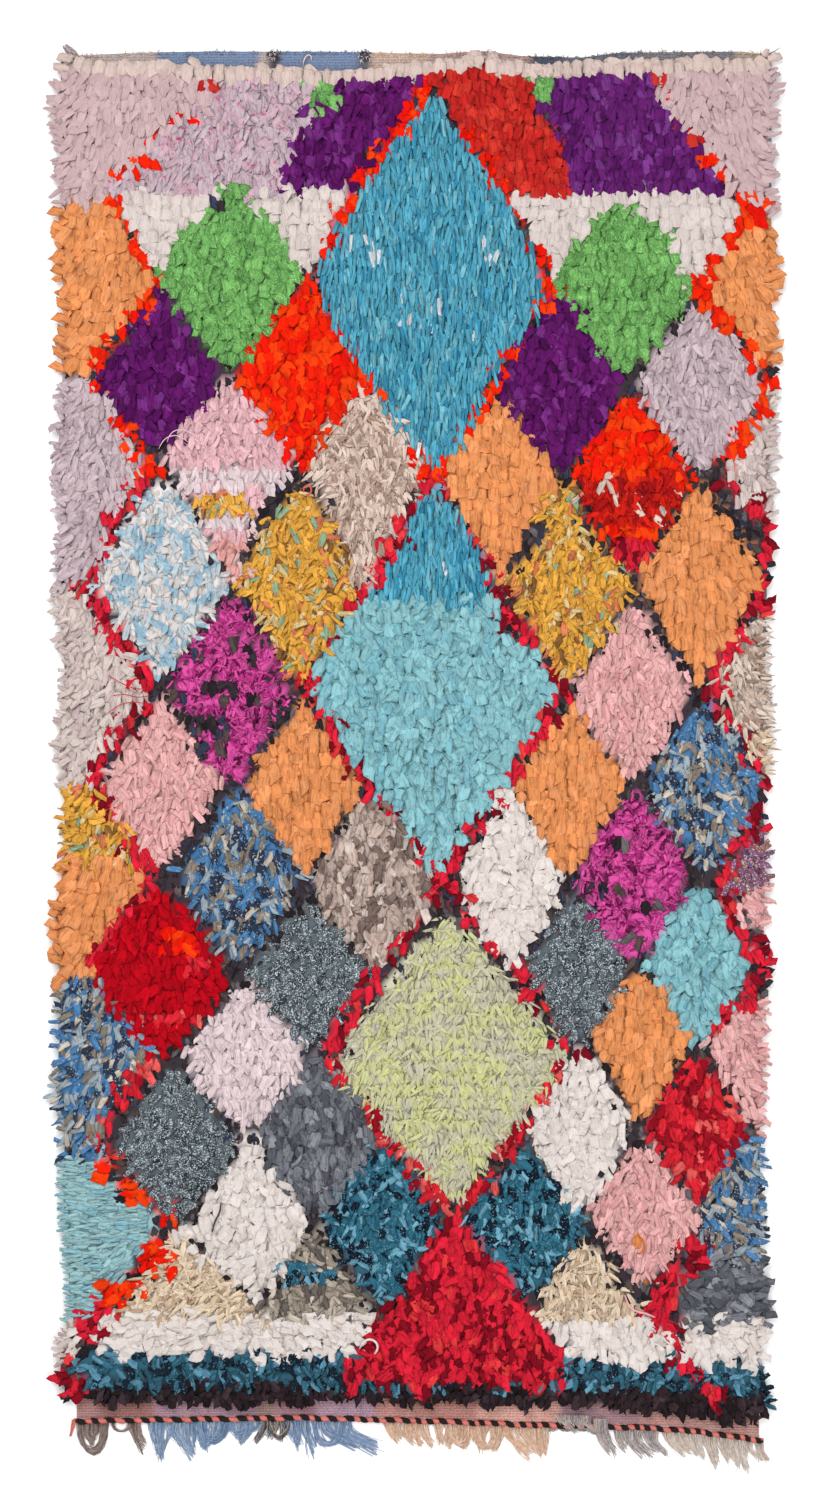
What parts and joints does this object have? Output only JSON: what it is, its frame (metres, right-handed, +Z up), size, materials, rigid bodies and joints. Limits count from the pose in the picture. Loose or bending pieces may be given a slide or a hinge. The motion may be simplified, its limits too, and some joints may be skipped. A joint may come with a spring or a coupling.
{
  "type": "boucherouite rug",
  "caption": "Long rag rug with a thick shaggy pile of knotted fabric strips on a woven ground, a plain header and end band, a twined edge and an uneven fringe of warp ends.",
  "frame": {"origin": "on the ground cloth's underside near its middle, which lies on the floor", "axes": "+X across the rug, +Y along it towards the header end, +Z up out of the pile"},
  "size_m": [1.3016, 2.5508, 0.0385],
  "materials": {
    "ground_cloth": "matt",
    "rag_pile": "matt",
    "twined_cord": "matt",
    "warp_brown": "matt",
    "warp_blue": "matt",
    "warp_mixed": "matt",
    "warp_tan": "matt",
    "warp_grey": "matt",
    "warp_cream": "matt",
    "tail_mauve": "matt",
    "tail_navy": "matt",
    "tail_salmon": "matt"
  },
  "bodies": {
    "root": {"ground_weave": "ground_cloth", "pile": "rag_pile", "twined_edge": "twined_cord", "fringe_brown": "warp_brown", "fringe_blue_left": "warp_blue", "fringe_mixed": "warp_mixed", "fringe_blue_right": "warp_blue", "fringe_tan": "warp_tan", "fringe_grey": "warp_grey", "fringe_cream": "warp_cream", "tail_header_left": "tail_mauve", "tail_header_right": "tail_navy", "tail_twined": "tail_salmon"}
  },
  "joints": []
}
